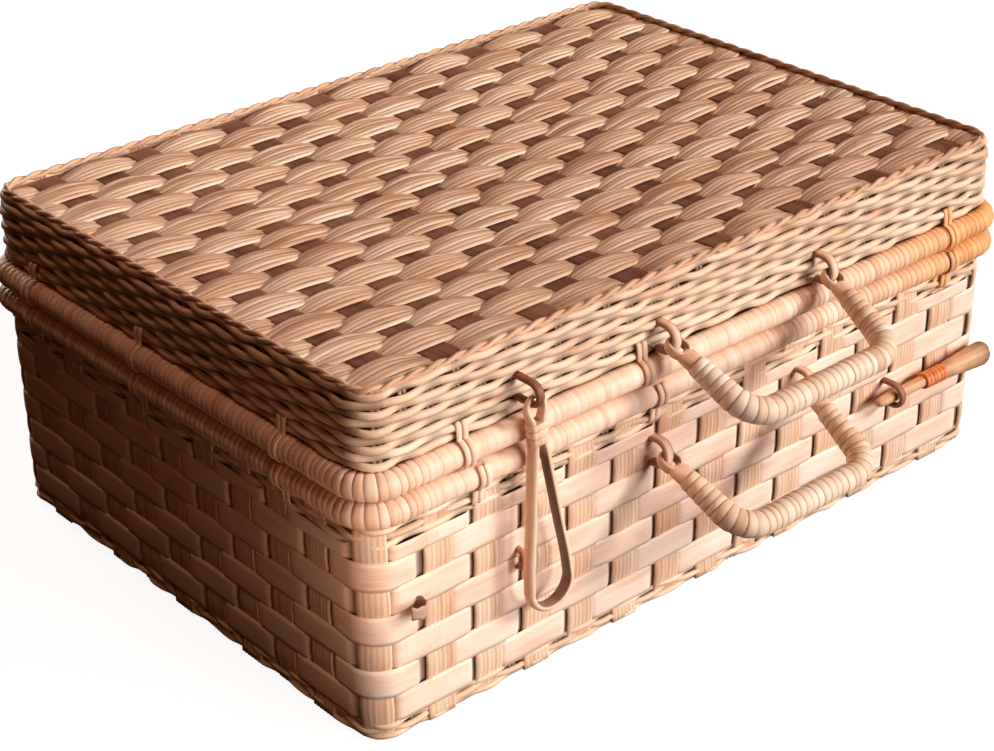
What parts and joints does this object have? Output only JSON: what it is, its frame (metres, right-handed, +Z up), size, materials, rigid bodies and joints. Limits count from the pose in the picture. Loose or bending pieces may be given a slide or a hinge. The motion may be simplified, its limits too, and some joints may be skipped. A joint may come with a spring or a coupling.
{
  "type": "woven rattan suitcase",
  "caption": "Rattan suitcase with a woven hinged lid, flat-splint body, bound rims, two U handles on the front, a hanging hasp and a locking peg.",
  "frame": {"origin": "centre of the base on the floor", "axes": "+X along the front to the right as seen from the front, +Y to the back, +Z up"},
  "size_m": [0.4642, 0.3948, 0.1906],
  "materials": {
    "splint": "satin",
    "reed": "satin",
    "lid_weave": "satin",
    "rod": "satin",
    "cane": "satin",
    "dark_cane": "satin",
    "orange_cane": "satin"
  },
  "bodies": {
    "case_body": {"body_basket": "splint", "base_panel": "splint", "foot_rows": "reed", "body_band": "reed", "body_rim": "rod", "body_rim_binding": "cane", "body_rim_ties": "cane", "hinge_loops": "cane", "lower_handle_loops": "dark_cane", "left_staple": "dark_cane", "right_staple": "dark_cane"},
    "case_lid": {"lid_panel": "lid_weave", "lid_border": "reed", "lid_skirt": "reed", "lid_rim": "rod", "lid_rim_binding": "cane", "lid_rim_ties": "cane", "upper_handle_loops": "dark_cane", "hasp_loop": "dark_cane"},
    "top_handle": {"upper_handle": "rod", "upper_handle_wrap": "cane"},
    "front_handle": {"lower_handle": "rod", "lower_handle_wrap": "cane"},
    "hasp_strap": {"hasp": "dark_cane", "hasp_collar": "cane"},
    "peg": {"locking_peg": "rod", "peg_collar": "orange_cane"}
  },
  "joints": [
    {"name": "lid_hinge", "type": "hinge", "parent": "case_body", "child": "case_lid", "pos_m": [0, 0.16, 0.1416], "axis": [-1, 0, 0], "range_deg": [0, 115]},
    {"name": "upper_handle_swing", "type": "hinge", "parent": "case_lid", "child": "top_handle", "pos_m": [0.017, -0.165, 0.158], "axis": [-1, 0, 0], "range_deg": [-20, 100]},
    {"name": "lower_handle_swing", "type": "hinge", "parent": "case_body", "child": "front_handle", "pos_m": [0.01, -0.165, 0.095], "axis": [-1, 0, 0], "range_deg": [-55, 28]},
    {"name": "hasp_swing", "type": "hinge", "parent": "case_lid", "child": "hasp_strap", "pos_m": [-0.133, -0.1714, 0.162], "axis": [-1, 0, 0], "range_deg": [0, 150]},
    {"name": "peg_slide", "type": "slide", "parent": "case_body", "child": "peg", "axis": [1, 0, 0], "range_m": [-0.02, 0.012]}
  ]
}
